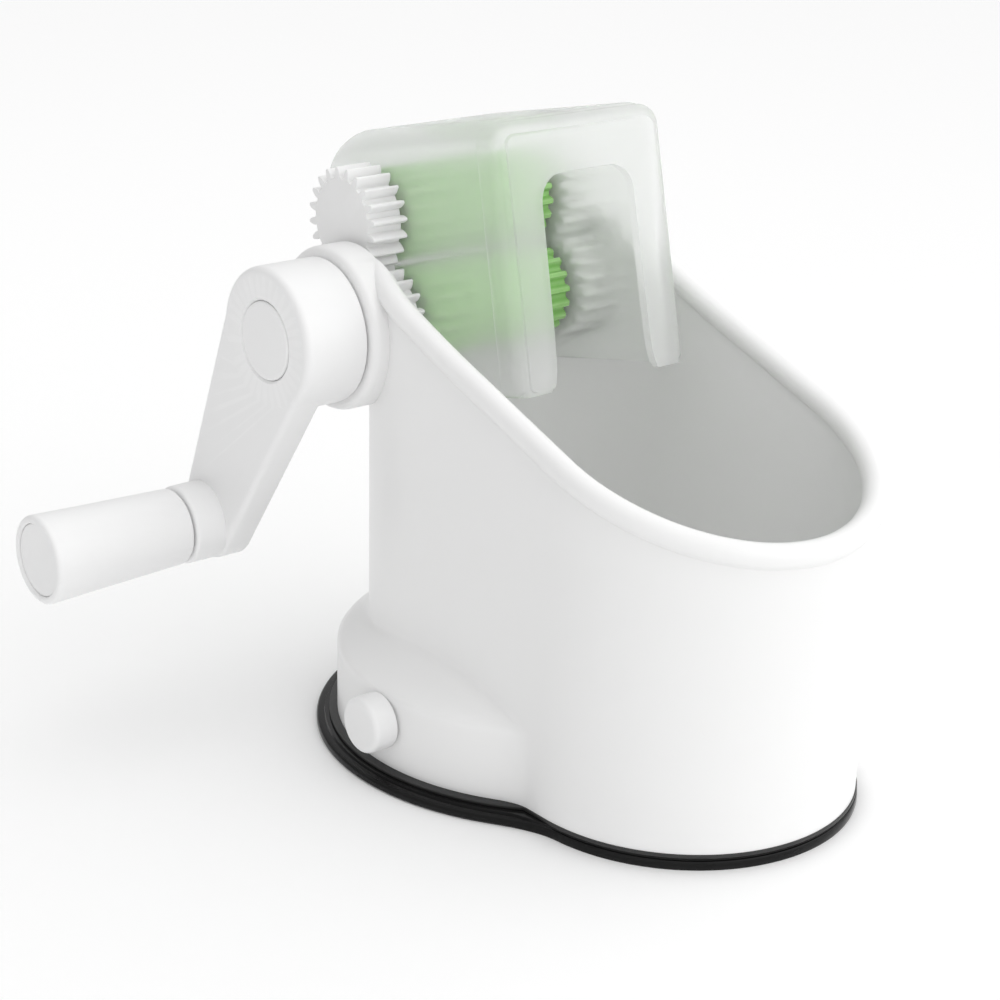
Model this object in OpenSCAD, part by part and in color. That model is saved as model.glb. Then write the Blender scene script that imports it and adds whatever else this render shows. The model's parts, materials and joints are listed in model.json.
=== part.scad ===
// Rotary cheese grater: a tall collecting cup on a suction base, a frosted hood
// that carries a pair of ridged rollers, spur gears at both ends of the rollers
// and a crank on the left.
// Frame: X runs along the crank axis with the crank at -X, -Y is the low rounded
// front of the cup, Z is up. The origin is the centre of the suction base on the
// surface that it stands on.

/* [Cup] */
// Outside width of the cup
cup_w = 76.8; // [70:0.4:86]
// Distance from the origin to the centre of the front arc
cup_front = 41.1; // [34:0.1:50]
// Wall thickness of the cup
cup_wall = 2.4; // [1.8:0.1:3]
// Height of the rim at the very front
rim_front_z = 66; // [58:0.5:76]
// Slope of the rim, in degrees
rim_slope = 20.4; // [16:0.1:21]
// Height of the rear rim above the crank axis
rim_rear_rise = 4.7; // [3:0.1:6]
// Radius of the bead along the rim
bead_r = 2.7; // [2:0.1:3.2]
// Height of the inside floor
floor_z = 24.5; // [24:0.5:34]

/* [Base] */
// Radius of the round base that holds the suction pad
base_r = 50; // [46:0.5:54]
// Height of the upright wall of the round base
base_wall_z = 20.5; // [19:0.5:22]
// Height at which the sloped shoulder of the base meets the cup
shoulder_z = 26; // [24:0.5:30]
// Height of the black foot under the white body
foot_h = 3.4; // [2.6:0.1:4.5]
// How far the foot stands proud of the round base
foot_flare = 4.8; // [2:0.1:5]
// How far the foot stands proud of the front of the cup
foot_lip = 0.5; // [0.2:0.1:1.5]
// Thickness of the plastic base plate
plate_t = 2; // [1.6:0.1:3]
// Thickness of the suction pad
pad_t = 2.2; // [1.6:0.1:2.4]
// Thickness of the flange that carries the pad
pad_flange_t = 0.8; // [0.6:0.1:1]
// Lift of the suction pad when the lever is closed
pad_lift = 1.6; // [1.2:0.1:1.6]

/* [Suction lever] */
// Height of the lever shaft
cam_z = 13.7; // [13:0.1:14]
// Radius of the lever shaft
cam_shaft_r = 2.8; // [2.4:0.1:2.8]
// Radius of the cam
cam_r = 5; // [4.8:0.1:5.1]
// Length of the cam along the shaft
cam_len = 12; // [8:0.5:16]
// Radius of the round stub on the left end of the shaft
stub_r = 6.3; // [5:0.1:7]
// How far the stub stands out of the round base
stub_proud = 6; // [3:0.1:8]
// Length of the lever from its shaft
lever_len = 27; // [20:0.5:34]
// Thickness of the lever
lever_t = 3.8; // [3:0.1:4.2]

/* [Rollers and gears] */
// Distance of the crank axis behind the origin
axis_y = 31.6; // [28:0.1:32]
// Height of the crank axis
axis_z = 92.3; // [88:0.1:100]
// Lean of the upper roller behind the lower one, in degrees
lean = 18; // [12:1:24]
// Gear module
gear_m = 1.1; // [1:0.05:1.2]
// Teeth on each gear
gear_z = 20; // [18:2:20]
// Face width of each gear
gear_w = 9; // [7:0.1:9.4]
// Gap between the two rollers
nip = 1; // [0.8:0.1:2.4]
// Ridges on a roller
roller_n = 18; // [14:2:24]
// Depth of a ridge
ridge_h = 1.3; // [0.8:0.1:1.8]
// Radius of the drive shaft
shaft_r = 4; // [3.5:0.1:4.5]
// Radius of the upper axle
axle_r = 3; // [2.5:0.1:4]

/* [Ears] */
// Radius of the round ears that carry the drive shaft
ear_r = 18; // [17.6:0.1:20]
// Thickness of the left ear outside its gears
left_ear_t = 7.5; // [6:0.1:9]
// Thickness of the right ear outside its gears
right_ear_t = 5.5; // [5:0.1:9]
// Outer radius of a shaft bush
bush_r = 6; // [5.5:0.1:7]

/* [Hood] */
// Outside width of the hood
hood_w = 45.6; // [44:0.1:46]
// Room between the upper roller and the back of the hood, which gives its depth
hood_back_room = 14.6; // [10:0.1:18]
// Height of the front panel
hood_h = 57.4; // [50:0.2:62]
// Backward tilt of the front panel, in degrees
hood_tilt = 11.9; // [8:0.1:15]
// Distance of the upper front edge in front of the origin
hood_top_y = 1.8; // [0:0.1:5]
// Height of the hood's top above the upper roller
hood_head_room = 16.28; // [14:0.02:20]
// Wall thickness of the hood
hood_wall = 2; // [1.6:0.1:2.4]
// Radius of the hood's front and side edges
hood_edge_r = 5; // [3:0.5:7]
// Radius of the hood's upper rear corner
hood_back_r = 14; // [8:0.5:18]
// Width of the window near its top
window_w = 22.4; // [16:0.2:26]
// Width of the window at the lower edge of the front panel
window_low_w = 27.2; // [20:0.2:34]
// Distance from the top of the hood to the top of the window
window_top = 12.3; // [9:0.1:16]

/* [Crank] */
// Radius of the crank hub
hub_r = 15.9; // [14:0.1:17]
// Length of the hub along the crank axis
hub_len = 15.55; // [12:0.05:18]
// Length of the crank arm between its two axes
arm_len = 54.5; // [46:0.5:62]
// Angle of the arm from straight down towards the back, in degrees
arm_angle = 28; // [0:1:40]
// Thickness of the arm
arm_t = 7.5; // [6:0.1:9]
// Radius of the arm's lower end
arm_end_r = 9.4; // [8:0.1:11]
// Radius of the cap in the hub
cap_r = 8.7; // [7:0.1:10]

/* [Grip] */
// Length of the collar between the arm and the grip
collar_len = 7.31; // [5:0.01:10]
// Length of the grip
grip_len = 35; // [28:0.5:38]
// Radius of the grip beside the arm
grip_r1 = 8.7; // [7.5:0.1:9.5]
// Radius of the grip at its outer end
grip_r2 = 10; // [8.5:0.1:11]
// Radius of the grip's steel spindle
spindle_r = 3; // [2.5:0.1:3.5]

/* [Hidden] */
// Radial clearance of every running fit
run = 0.06;
// Gap between faces that slide past each other
gap = 0.3;
// Overlap that keeps cuts and joined solids clean
eps = 0.05;
$fn = 96;

hw = cup_w / 2;
in_w = hw - cup_wall;
// Play between the base plate and the skirt round it
skirt_gap = 0.2;

// Gears and rollers: centre distance, upper axle, tip and root circles, places along X
gear_cd = gear_m * gear_z;
top_y = axis_y + gear_cd * sin(lean);
top_z = axis_z + gear_cd * cos(lean);
gear_tip = gear_m * (gear_z + 2) / 2;
gear_root = gear_m * (gear_z - 2.5) / 2;
gear_x = hood_w / 2 + gap * 2;
gear_out = gear_x + gear_w;
// Wall that closes the outer side of an upper gear
gear_web = 1.8;
// Free space round the gears
gear_room = gear_tip + 0.8;
roller_r = (gear_cd - nip) / 2;
roller_len = hood_w - 2 * hood_wall - 4 * gap;
// Free space round a roller
roller_room = roller_r + 2;

// Hood: its back and top keep clear of the upper roller
hood_d = top_y + roller_r + hood_back_room;
hood_top_z = top_z + roller_r + hood_head_room;

// Cup: at the middle its rear arc passes just behind the lower roller
cup_rear = axis_y + roller_r + 1.3 - in_w;
front_tip = -cup_front - hw;
rim_run = tan(rim_slope);
rim_rear_z = axis_z + rim_rear_rise;
rear_bead_r = bead_r * 0.6;

// Ears and bushes
ear_inner = gear_out + 1.6;
ear_face = ear_inner + left_ear_t;
right_face = ear_inner + right_ear_t;
// Wall that closes the right bush on the outside
ear_web = 1.6;

// Crank: hub, grip and their screw
hub_in = ear_face + gap * 1.5;
crank_face = hub_in + hub_len;
grip_gap = gap * 1.3;
grip_in = crank_face + collar_len + grip_gap;
grip_end = grip_in + grip_len;
grip_y = axis_y + arm_len * sin(arm_angle);
grip_z = axis_z - arm_len * cos(arm_angle);
// Depth of the cap's seat and of the shaft's socket under the crank's face
cap_seat = 3.4;
socket_depth = 6;
crank_screw_r = 1.85;
crank_screw_len = 14.4;

// Suction base: chamber, pad, dish over it, plunger and posts
chamber_top = floor_z - 2;
plate_z = foot_h;
spring_low = pad_t + pad_flange_t;
dish_z = spring_low + pad_lift + 0.5;
post_r = 3;
// Space between the dish and the skirt for the rear posts
post_room = 8.6;
dish_r = base_r - cup_wall - post_room - plate_t;
pad_r = dish_r - 1;
pad_edge_t = 0.8;
pad_bevel = 3;
stem_r = 4.5;
stud_r = 2;
stud_low = 0.6;
spring_r = 8;
spring_t = 0.3;
yoke_play = 0.6;
yoke_wall = 1.4;
yoke_w = 2 * (cam_r + pad_lift + yoke_play);
yoke_h = 2 * (cam_r + yoke_play);
screw_r = 1.4;
screw_play = 0.2;
base_screw_head_r = 3;
base_screw_head_h = 1.6;
base_screw_len = 11;
flange_t = 0.8;
lever_screw_r = 1.2;
// Wall that closes the lever's seat on the outside
lever_web = 0.8;
rear_ring = base_r - cup_wall - post_room / 2;
front_ring = in_w - post_r - skirt_gap;
rear_turn = 40;
front_turn = 31;
post_spots = [
    for (s = [-1, 1])
        [s * front_ring * cos(front_turn), -cup_front - front_ring * sin(front_turn)],
    for (s = [-1, 1])
        [s * rear_ring * cos(rear_turn), rear_ring * sin(rear_turn)]
];

// ---------- helpers ----------

// A solid with its axis along X, from x1 to x2, through (y, z)
module rod_x(r, x1, x2, y = 0, z = 0) {
    translate([x1, y, z])
        rotate([0, 90, 0])
            cylinder(r = r, h = x2 - x1);
}

// A flat outline with round ends of radius r, centred on y = a and y = b
module slot_outline(r, a, b) {
    translate([0, a])
        circle(r = r);
    translate([0, b])
        circle(r = r);
    translate([-r, a])
        square([2 * r, b - a]);
}

// Children drawn in the YZ plane (x of the outline is +Y, y is +Z), from x1 to x2
module extrude_x(x1, x2) {
    translate([x1, 0, 0])
        rotate([90, 0, 90])
            linear_extrude(height = x2 - x1)
                children();
}

// The body's plan: the cup and the round base, grown by d and by flare on the base
module plan(d, flare) {
    slot_outline(hw + d, -cup_front, cup_rear);
    circle(r = base_r + flare);
}

// A screw along X with a cross-shaped drive in its head
module screw_x(r, head_r, head_h, x_head, x_tip, y, z) {
    difference() {
        union() {
            rod_x(head_r, x_head, x_head + head_h, y, z);
            rod_x(r, x_head + head_h - eps, x_tip, y, z);
        }
        for (a = [0, 90])
            translate([x_head, y, z])
                rotate([a, 0, 0])
                    cube([head_h, 0.9, head_r * 1.1], center = true);
    }
}

// ---------- gears and rollers ----------

// Point on an involute of base radius rb at roll angle t
function involute(rb, t) = [
    rb * (cos(t) + t * PI / 180 * sin(t)),
    rb * (sin(t) - t * PI / 180 * cos(t))
];
function turn(p, a) = [p[0] * cos(a) - p[1] * sin(a), p[0] * sin(a) + p[1] * cos(a)];
pressure = 20;
gear_base = gear_m * gear_z / 2 * cos(pressure);
roll_tip = sqrt(pow(gear_tip / gear_base, 2) - 1) * 180 / PI;
roll_pitch = tan(pressure) * 180 / PI;
// Half of a tooth at the base circle, thinned a little for backlash
half_tooth = 90 / gear_z + (roll_pitch - pressure) - 0.55;
flank_steps = 5;
function flank(side) = [
    for (i = [0:flank_steps])
        let (p = turn(involute(gear_base, roll_tip * i / flank_steps), -half_tooth))
            [p[0], side * p[1]]
];
function reversed(v) = [for (i = [len(v) - 1:-1:0]) v[i]];
tooth_root = gear_root - 0.6;
tooth = concat(
    [[tooth_root * cos(half_tooth), -tooth_root * sin(half_tooth)]],
    flank(1),
    reversed(flank(-1)),
    [[tooth_root * cos(half_tooth), tooth_root * sin(half_tooth)]]
);

module gear_outline(phase) {
    circle(r = gear_root);
    for (i = [0:gear_z - 1])
        rotate(phase + i * 360 / gear_z)
            polygon(tooth);
}

// A gear from x1 to x2 about (y, z); phase is the angle of a tooth from +Y
module spur_gear(x1, x2, y, z, phase, bore, blind) {
    difference() {
        translate([0, y, z])
            extrude_x(x1, x2)
                gear_outline(phase);
        if (blind == 0)
            rod_x(bore, x1 - 1, x2 + 1, y, z);
        if (blind < 0)
            rod_x(bore, x1 + gear_web, x2 + 1, y, z);
        if (blind > 0)
            rod_x(bore, x1 - 1, x2 - gear_web, y, z);
    }
}

// The lower gears have a tooth on the line of centres, the upper ones a gap
mesh_angle = 90 - lean;
lower_phase = mesh_angle;
upper_phase = mesh_angle + 180 / gear_z;

module roller(y, z, bore, phase) {
    ridge_w = 2 * PI * roller_r / roller_n;
    difference() {
        translate([0, y, z])
            extrude_x(-roller_len / 2, roller_len / 2) {
                circle(r = roller_r - ridge_h);
                for (i = [0:roller_n - 1])
                    rotate(phase + i * 360 / roller_n)
                        polygon([
                            [roller_r - ridge_h - 0.6, -ridge_w * 0.30],
                            [roller_r, -ridge_w * 0.17],
                            [roller_r, ridge_w * 0.17],
                            [roller_r - ridge_h - 0.6, ridge_w * 0.30]
                        ]);
            }
        rod_x(bore, -roller_len, roller_len, y, z);
    }
}

// ---------- cup ----------

// Height of the rim's centre line at y
function rim_z(y) = rim_front_z + (y - front_tip) * rim_run;
rim_join = axis_y - ear_r + 3;
bead_sides = 12;
bead_steps = 14;
bead_path = concat(
    [[-hw + cup_wall / 2, rim_join, rim_z(rim_join)]],
    [
        for (i = [0:2 * bead_steps])
            let (
                a = 180 + 90 * i / bead_steps,
                r = hw - cup_wall / 2,
                y = -cup_front + r * sin(a)
            )
                [r * cos(a), y, rim_z(y)]
    ],
    [[hw - cup_wall / 2, rim_join, rim_z(rim_join)]]
);

// A round tube of radius r along a list of points
function unit(v) = v / norm(v);
function along(p, i) = unit(p[min(i + 1, len(p) - 1)] - p[max(i - 1, 0)]);
module tube(p, r, sides) {
    last = len(p) - 1;
    points = [
        for (i = [0:last])
            let (
                t = along(p, i),
                u = unit(cross(t, [0, 0, 1])),
                v = cross(u, t)
            )
                for (k = [0:sides - 1])
                    p[i] + r * cos(360 * k / sides) * u + r * sin(360 * k / sides) * v
    ];
    walls = [
        for (i = [0:last - 1])
            for (k = [0:sides - 1])
                let (n = (k + 1) % sides)
                    [i * sides + k, i * sides + n, (i + 1) * sides + n, (i + 1) * sides + k]
    ];
    polyhedron(
        points = points,
        faces = concat(
            walls,
            [[for (k = [sides - 1:-1:0]) k]],
            [[for (k = [0:sides - 1]) last * sides + k]]
        ),
        convexity = 6
    );
}

// The side view of the cup: sloped in front of the ears, level behind them
module cup_side() {
    y0 = front_tip - 5;
    polygon([
        [y0, foot_h],
        [y0, rim_z(y0)],
        [axis_y, rim_z(axis_y)],
        [axis_y, rim_rear_z],
        [base_r + 5, rim_rear_z],
        [base_r + 5, foot_h]
    ]);
}

// The round base: upright wall, then a shoulder that slopes up to the cup
module base_solid(d) {
    rotate_extrude()
        polygon([
            [0, foot_h],
            [base_r - d, foot_h],
            [base_r - d, base_wall_z - d * 0.4],
            [hw - d, shoulder_z - d * 0.4],
            [0, shoulder_z - d * 0.4]
        ]);
}

// One ear with the pod that wraps the gear behind it; side is -1 on the left
module ear_solid(side, face) {
    edge = 1.2;
    mirror([side > 0 ? 0 : 1, 0, 0])
        translate([0, axis_y, axis_z])
            rotate([0, 90, 0])
                rotate_extrude()
                    polygon([
                        [0, gear_x],
                        [ear_r, gear_x],
                        [ear_r, face - edge],
                        [ear_r - edge * 0.3, face - edge * 0.3],
                        [ear_r - edge, face],
                        [0, face]
                    ]);
}

// Wall behind the lower roller, between the pods and up to the rear rim
module roller_barrel() {
    r = roller_room + cup_wall;
    intersection() {
        rod_x(r, -gear_x, gear_x, axis_y, axis_z);
        translate([-gear_x - 1, axis_y, 0])
            cube([2 * gear_x + 2, r + 1, rim_rear_z]);
    }
}

module cup_body() {
    color("white")
        difference() {
            union() {
                intersection() {
                    translate([0, 0, foot_h])
                        linear_extrude(height = 140)
                            slot_outline(hw, -cup_front, cup_rear);
                    extrude_x(-hw - 5, hw + 5)
                        cup_side();
                }
                base_solid(0);
                ear_solid(-1, ear_face);
                ear_solid(1, right_face);
                roller_barrel();
                tube(bead_path, bead_r, bead_sides);
                // Bead of the rear rim
                translate([0, cup_rear, rim_rear_z])
                    rotate([0, 0, 30])
                        rotate_extrude(angle = 120)
                            translate([hw - cup_wall / 2, 0])
                                circle(r = rear_bead_r);
            }
            cup_cavity();
            chamber();
            gear_rooms();
            bush_seats();
        }
    color("white")
        cup_posts();
}

// Space inside the cup above its floor
module cup_cavity() {
    translate([0, 0, floor_z])
        linear_extrude(height = 140)
            slot_outline(in_w, -cup_front, cup_rear);
}

// Space under the floor that holds the suction mechanism, with the shaft's holes
module chamber() {
    translate([0, 0, foot_h - 1])
        linear_extrude(height = chamber_top - foot_h + 1)
            slot_outline(in_w, -cup_front, cup_rear);
    rotate_extrude()
        polygon([
            [0, foot_h - 1],
            [base_r - cup_wall, foot_h - 1],
            [base_r - cup_wall, base_wall_z - 2],
            [hw - cup_wall, chamber_top],
            [0, chamber_top]
        ]);
    rod_x(cam_shaft_r + run, -base_r - 5, base_r + 5, 0, cam_z);
}

// Rooms for the gears on both sides, open to the inside and to the top
module gear_rooms() {
    inner = hood_w / 2 - 6;
    for (s = [-1, 1])
        mirror([s > 0 ? 0 : 1, 0, 0]) {
            rod_x(gear_room, inner, ear_inner, axis_y, axis_z);
            rod_x(gear_room, inner, ear_inner, top_y, top_z);
            rod_x(roller_room, 0, gear_x + 1, axis_y, axis_z);
            rod_x(roller_room, 0, gear_x + 1, top_y, top_z);
            translate([inner, axis_y - gear_room, axis_z])
                cube([ear_inner - inner, gear_room * 2.2, 60]);
        }
}

// Seats of the two shaft bushes; the right one is closed on the outside
module bush_seats() {
    rod_x(bush_r, -ear_face - 1, -ear_inner + 1, axis_y, axis_z);
    rod_x(bush_r, ear_inner - 1, right_face - ear_web, axis_y, axis_z);
}

// Posts under the floor for the screws of the base plate, sunk 1 mm into the walls
module cup_posts() {
    post_low = plate_z + plate_t + eps;
    hole_depth = 10;
    for (p = post_spots)
        difference() {
            intersection() {
                translate([p[0], p[1], post_low])
                    cylinder(r = post_r, h = chamber_top + 1 - post_low);
                union() {
                    base_solid(1);
                    linear_extrude(height = chamber_top + 1)
                        slot_outline(in_w, -cup_front, cup_rear);
                }
            }
            translate([p[0], p[1], post_low - 1])
                cylinder(r = screw_r, h = hole_depth + 1);
        }
}

// ---------- base ----------

module base_plate() {
    fit = cup_wall + skirt_gap;
    color([0.1, 0.1, 0.1])
        difference() {
            union() {
                // Flange between the foot and the body
                translate([0, 0, foot_h - flange_t])
                    linear_extrude(height = flange_t)
                        plan(foot_lip * 0.6, foot_flare * 0.4);
                // Plate inside the skirt
                translate([0, 0, foot_h - eps])
                    linear_extrude(height = plate_t + eps) {
                        slot_outline(hw - fit, -cup_front, cup_rear);
                        circle(r = base_r - fit);
                    }
                // Raised dish over the suction pad
                translate([0, 0, foot_h])
                    cylinder(r = dish_r + plate_t, h = dish_z + plate_t - foot_h);
            }
            translate([0, 0, -1])
                cylinder(r = dish_r, h = dish_z + 1);
            // Opening for the plunger's stem
            translate([0, 0, dish_z - 1])
                cylinder(r = stem_r + gap, h = plate_t + 2);
            for (p = post_spots)
                translate([p[0], p[1], 0])
                    screw_hole();
        }
}

// Clearance hole of one base screw
module screw_hole() {
    translate([0, 0, -1])
        cylinder(r = screw_r + screw_play, h = 20);
}

module foot_ring() {
    inset = 7;
    color([0.06, 0.06, 0.06])
        difference() {
            union() {
                linear_extrude(height = foot_h - 1.4)
                    plan(foot_lip, foot_flare);
                translate([0, 0, foot_h - 1.4 - eps])
                    linear_extrude(height = 0.6 + eps)
                        plan(foot_lip * 0.4, foot_flare * 0.8);
            }
            translate([0, 0, -1])
                linear_extrude(height = foot_h + 2)
                    slot_outline(hw - inset, -cup_front, -cup_front + 1);
            translate([0, 0, -1])
                cylinder(r = dish_r, h = foot_h + 2);
            for (p = post_spots)
                translate([p[0], p[1], -1])
                    cylinder(r = base_screw_head_r + 0.7, h = 20);
        }
}

module base_screws() {
    color("silver")
        for (p = post_spots)
            translate([p[0], p[1], foot_h - flange_t - base_screw_head_h])
                difference() {
                    union() {
                        cylinder(r = base_screw_head_r, h = base_screw_head_h);
                        cylinder(r = screw_r - 0.02, h = base_screw_len);
                    }
                    for (a = [0, 90])
                        rotate([0, 0, a])
                            cube([3.6, 0.8, 1.6], center = true);
                }
}

module suction_pad() {
    color([0.08, 0.08, 0.08])
        difference() {
            rotate_extrude()
                polygon([
                    [0, 0],
                    [pad_r, 0],
                    [pad_r, pad_edge_t],
                    [pad_r - pad_bevel, pad_t],
                    [0, pad_t]
                ]);
            translate([0, 0, stud_low])
                cylinder(r = stud_r, h = pad_t);
        }
}

module pad_plunger() {
    yoke_low = dish_z + plate_t + gap;
    length = cam_len + 2 * yoke_wall;
    color("white")
        difference() {
            union() {
                translate([0, 0, stud_low])
                    cylinder(r = stud_r, h = pad_t);
                translate([0, 0, pad_t])
                    cylinder(r = spring_r + 0.6, h = pad_flange_t);
                translate([0, 0, pad_t])
                    cylinder(r = stem_r, h = yoke_low - pad_t + eps);
                translate([-length / 2, -yoke_w / 2 - yoke_wall, yoke_low])
                    cube([length, yoke_w + 2 * yoke_wall, cam_z + yoke_h / 2 + 1 - yoke_low]);
            }
            // Window that the cam turns in
            translate([-length, -yoke_w / 2, cam_z - yoke_h / 2])
                cube([2 * length, yoke_w, yoke_h]);
        }
}

// Cupped spring washer that pushes the pad down when the lever opens
module plunger_spring() {
    inner = stem_r + 0.4;
    color("silver")
        rotate_extrude()
            polygon([
                [inner, dish_z - spring_t],
                [inner, dish_z],
                [inner + 0.5, dish_z],
                [spring_r, spring_low + spring_t],
                [spring_r, spring_low],
                [spring_r - 0.5, spring_low]
            ]);
}

// ---------- suction lever ----------

module cam_shaft() {
    neck = 1.0;
    color("white")
        difference() {
            union() {
                rod_x(cam_shaft_r, -base_r - 0.5, base_r + gap + lever_t - lever_web, 0, cam_z);
                translate([-base_r - stub_proud, 0, cam_z])
                    rotate([0, 90, 0])
                        rotate_extrude()
                            polygon([
                                [0, 0],
                                [stub_r - neck, 0],
                                [stub_r, neck],
                                [stub_r, stub_proud - gap],
                                [0, stub_proud - gap]
                            ]);
            }
            rod_x(lever_screw_r + 0.05, base_r - 8, base_r + 10, 0, cam_z);
        }
}

module suction_cam() {
    color("white")
        difference() {
            rod_x(cam_r, -cam_len / 2, cam_len / 2, pad_lift, cam_z);
            rod_x(cam_shaft_r, -cam_len, cam_len, 0, cam_z);
        }
}

module suction_lever() {
    x1 = base_r + gap;
    tip_r = 4.2;
    color("white")
        difference() {
            union() {
                rod_x(stub_r, x1, x1 + lever_t, 0, cam_z);
                extrude_x(x1, x1 + lever_t)
                    polygon([
                        [-stub_r, cam_z],
                        [-tip_r, cam_z + lever_len],
                        [tip_r, cam_z + lever_len],
                        [stub_r, cam_z]
                    ]);
                rod_x(tip_r, x1, x1 + lever_t, 0, cam_z + lever_len);
            }
            rod_x(cam_shaft_r, x1 - 1, x1 + lever_t - lever_web, 0, cam_z);
            rod_x(lever_screw_r + 0.2, x1 - 1, x1 + lever_t + 1, 0, cam_z);
        }
}

module lever_screw() {
    x = base_r + gap + lever_t;
    head_h = 0.6;
    color("silver")
        difference() {
            union() {
                rod_x(lever_screw_r, base_r - 6, x, 0, cam_z);
                rod_x(lever_screw_r + 1, x, x + head_h, 0, cam_z);
            }
            translate([x + head_h, 0, cam_z])
                cube([head_h, 3, 0.7], center = true);
        }
}

// ---------- shaft bushes ----------

module shaft_bush(x1, x2) {
    difference() {
        rod_x(bush_r, x1, x2, axis_y, axis_z);
        rod_x(shaft_r + run, x1 - 1, x2 + 1, axis_y, axis_z);
    }
}

module left_bush() {
    color("ivory")
        shaft_bush(-ear_face, -ear_inner);
}

module right_bush() {
    color("ivory")
        shaft_bush(ear_inner, right_face - ear_web);
}

// ---------- hood ----------

// Places children drawn in the hood's own frame: y runs back from the front
// panel and z runs down from the top, both along the tilted walls
hood_face_y = -hood_top_y;
module in_hood() {
    rise = hood_edge_r * (sin(hood_tilt) + cos(hood_tilt) - 1);
    translate([0, hood_face_y, hood_top_z + rise])
        rotate([-hood_tilt, 0, 0])
            children();
}

// Side outline of the hood in its own frame, shrunk by d
module hood_side(d) {
    r = hood_edge_r - d * 0.8;
    rb = hood_back_r - d;
    y1 = d;
    y2 = hood_d - d;
    z1 = -hood_h - 1;
    z2 = -d;
    difference() {
        translate([y1, z1])
            square([y2 - y1, z2 - z1]);
        translate([y1, z2])
            corner_cut(r, 1);
        translate([y2, z2])
            corner_cut(rb, -1);
    }
}

// What rounding leaves outside an upper corner; side is 1 at the left one
module corner_cut(r, side) {
    translate([side > 0 ? 0 : -r, -r])
        difference() {
            translate([side > 0 ? -1 : 0, 0])
                square([r + 1, r + 1]);
            translate([side > 0 ? r : 0, 0])
                circle(r = r);
        }
}

// Front view of the hood with rounded upper corners, shrunk by d
module hood_front(d) {
    r = hood_edge_r - d * 0.8;
    w = hood_w / 2 - d;
    difference() {
        translate([-w, -hood_h - 30])
            square([2 * w, hood_h + 30 - d]);
        translate([-w, -d])
            corner_cut(r, 1);
        translate([w, -d])
            corner_cut(r, -1);
    }
}

module hood_block(d) {
    intersection() {
        extrude_x(-hood_w, hood_w)
            hood_side(d);
        translate([0, 100, 0])
            rotate([90, 0, 0])
                linear_extrude(height = 200)
                    hood_front(d);
    }
}

// The window: round upper corners, sides that spread a little, open at the bottom
module window_cut() {
    r = 5;
    w = window_w / 2;
    low = window_low_w / 2;
    side_top = -window_top - r;
    translate([0, hood_wall + 3, 0])
        rotate([90, 0, 0])
            linear_extrude(height = hood_wall + 8) {
                polygon([
                    [-w, side_top],
                    [w, side_top],
                    [low, -hood_h],
                    [low, -hood_h - 10],
                    [-low, -hood_h - 10],
                    [-low, -hood_h]
                ]);
                translate([-w + r, side_top - 1])
                    square([2 * (w - r), r + 1]);
                for (s = [-1, 1])
                    translate([s * (w - r), side_top])
                        circle(r = r);
            }
}

// Where the hood's rear stands on the rear rim, and where the feed tray starts
seat_z = rim_rear_z + rear_bead_r + 0.4;
seat_y = cup_rear + sqrt(pow(in_w, 2) - pow(hood_w / 2, 2)) - 2.5;

tray_y = axis_y + roller_r + 2.3;
upper_bush_r = 5;

module hood() {
    tray_t = 2;
    mouth_h = 17;
    color([0.88, 0.94, 0.9, 0.5])
        difference() {
            union() {
                difference() {
                    in_hood()
                        hood_block(0);
                    in_hood()
                        hood_block(hood_wall);
                    // Open underside
                    in_hood()
                        translate([-hood_w, hood_wall, -hood_h - 20])
                            cube([2 * hood_w, hood_d, 20]);
                }
                // Feed tray behind the rear rim
                intersection() {
                    in_hood()
                        hood_block(0.2);
                    translate([-hood_w, tray_y, seat_z])
                        cube([2 * hood_w, 60, tray_t]);
                }
            }
            in_hood()
                window_cut();
            // The hood's rear stands on the rear rim of the cup
            translate([-hood_w, seat_y, 0])
                cube([2 * hood_w, 80, seat_z]);
            // Feed mouth in the back wall
            translate([-hood_w / 2 + hood_wall + 2, tray_y + 4, seat_z + tray_t])
                cube([hood_w - 2 * hood_wall - 4, 60, mouth_h]);
            rod_x(shaft_r + 0.4, -hood_w, hood_w, axis_y, axis_z);
            rod_x(upper_bush_r, -hood_w, hood_w, top_y, top_z);
        }
}

module upper_bush(side) {
    mirror([side > 0 ? 0 : 1, 0, 0])
        difference() {
            rod_x(upper_bush_r, hood_w / 2 - hood_wall - 0.4, hood_w / 2 + gap, top_y, top_z);
            rod_x(axle_r + run, 0, hood_w, top_y, top_z);
        }
}

module upper_left_bush() {
    color("ivory")
        upper_bush(-1);
}

module upper_right_bush() {
    color("ivory")
        upper_bush(1);
}

// ---------- lower, driven by the crank ----------

module drive_shaft() {
    color("silver")
        difference() {
            rod_x(shaft_r, -crank_face + socket_depth, right_face - ear_web - 0.5, axis_y, axis_z);
            rod_x(crank_screw_r + 0.05, -crank_face, -crank_face + 18, axis_y, axis_z);
            // Groove of the clip
            difference() {
                rod_x(shaft_r + 1, gear_out + gap, gear_out + gap + 0.7, axis_y, axis_z);
                rod_x(shaft_r - 0.7, gear_out, gear_out + 2, axis_y, axis_z);
            }
        }
}

module shaft_clip() {
    color("silver")
        difference() {
            rod_x(shaft_r + 1.8, gear_out + gap + 0.05, gear_out + gap + 0.65, axis_y, axis_z);
            rod_x(shaft_r - 0.65, gear_out, gear_out + 2, axis_y, axis_z);
            translate([gear_out, axis_y - shaft_r * 0.6, axis_z])
                cube([2, shaft_r * 1.2, 10]);
        }
}

module lower_roller() {
    color("limegreen")
        roller(axis_y, axis_z, shaft_r, 90);
}

module left_drive_gear() {
    color("white")
        spur_gear(-gear_out, -gear_x, axis_y, axis_z, lower_phase, shaft_r, 0);
}

module right_drive_gear() {
    color("white")
        spur_gear(gear_x, gear_out, axis_y, axis_z, lower_phase, shaft_r, 0);
}

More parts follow.
